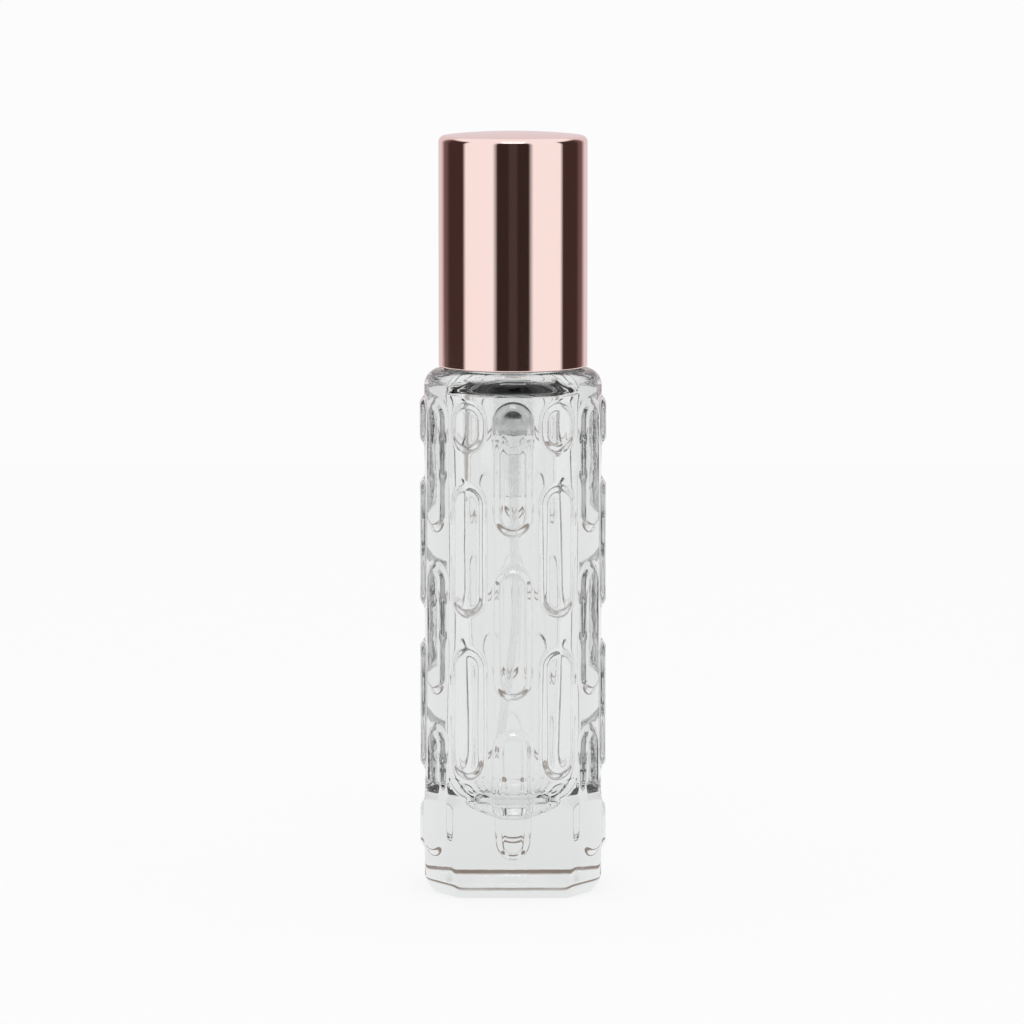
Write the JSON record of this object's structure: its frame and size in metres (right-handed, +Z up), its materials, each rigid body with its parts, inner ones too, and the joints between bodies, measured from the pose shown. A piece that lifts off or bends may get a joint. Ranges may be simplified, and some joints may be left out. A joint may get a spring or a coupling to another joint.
{
  "type": "perfume spray bottle",
  "caption": "Slim glass perfume spray bottle with raised oblong pills, a thick faceted foot, a screw-on mist pump with dip tube and a polished rose-gold pull-off cap",
  "frame": {"origin": "centre of the bottle's underside, on the surface it stands on", "axes": "+Z up along the bottle's axis, -Y the front face of the foot and the side to which the nozzle sprays, +X to the right seen from the front"},
  "size_m": [0.0214, 0.0214, 0.0871],
  "materials": {
    "clear_glass": "clear, polished",
    "rose_metal": "rose-gold anodised, mirror polished",
    "liner_plastic": "satin",
    "white_plastic": "smooth",
    "frosted_plastic": "milky, half clear",
    "tube_plastic": "half clear",
    "seal_rubber": "satin",
    "steel": "bright stainless"
  },
  "bodies": {
    "bottle": {"bottle": "clear_glass"},
    "pump": {"pump_housing": "frosted_plastic", "pump_retainer": "white_plastic", "stem_seal": "seal_rubber", "neck_gasket": "seal_rubber", "dip_tube": "tube_plastic", "return_spring": "steel"},
    "collar": {"collar": "white_plastic", "collar_shell": "rose_metal"},
    "cap": {"cap_shell": "rose_metal", "cap_liner": "liner_plastic"},
    "actuator": {"stem": "white_plastic", "plunger": "white_plastic", "button": "white_plastic", "button_shell": "rose_metal", "nozzle_insert": "white_plastic"},
    "piston": {"piston": "white_plastic"},
    "ball": {"check_ball": "steel"}
  },
  "joints": [
    {"name": "pump_lift", "type": "slide", "parent": "bottle", "child": "pump", "axis": [0, 0, 1], "range_m": [0, 0.00421]},
    {"name": "collar_unscrew", "type": "hinge", "parent": "pump", "child": "collar", "pos_m": [0, 0, 0.065], "axis": [0, 0, 1], "range_deg": [0, 720]},
    {"name": "cap_pull", "type": "slide", "parent": "collar", "child": "cap", "axis": [0, 0, 1], "range_m": [0, 0.03]},
    {"name": "button_press", "type": "slide", "parent": "pump", "child": "actuator", "axis": [0, 0, -1], "range_m": [0, 0.0038], "stiffness_N_per_m": 1200, "springref_m": -0.003, "deforming": ["return_spring"]},
    {"name": "piston_slip", "type": "slide", "parent": "actuator", "child": "piston", "axis": [0, 0, 1], "range_m": [0, 0.0006]},
    {"name": "ball_lift", "type": "slide", "parent": "pump", "child": "ball", "axis": [0, 0, 1], "range_m": [0, 0.0005]}
  ],
  "couplings": [
    {"joint": "pump_lift", "follows": "collar_unscrew", "m_per_rad": 0.00033423}
  ]
}
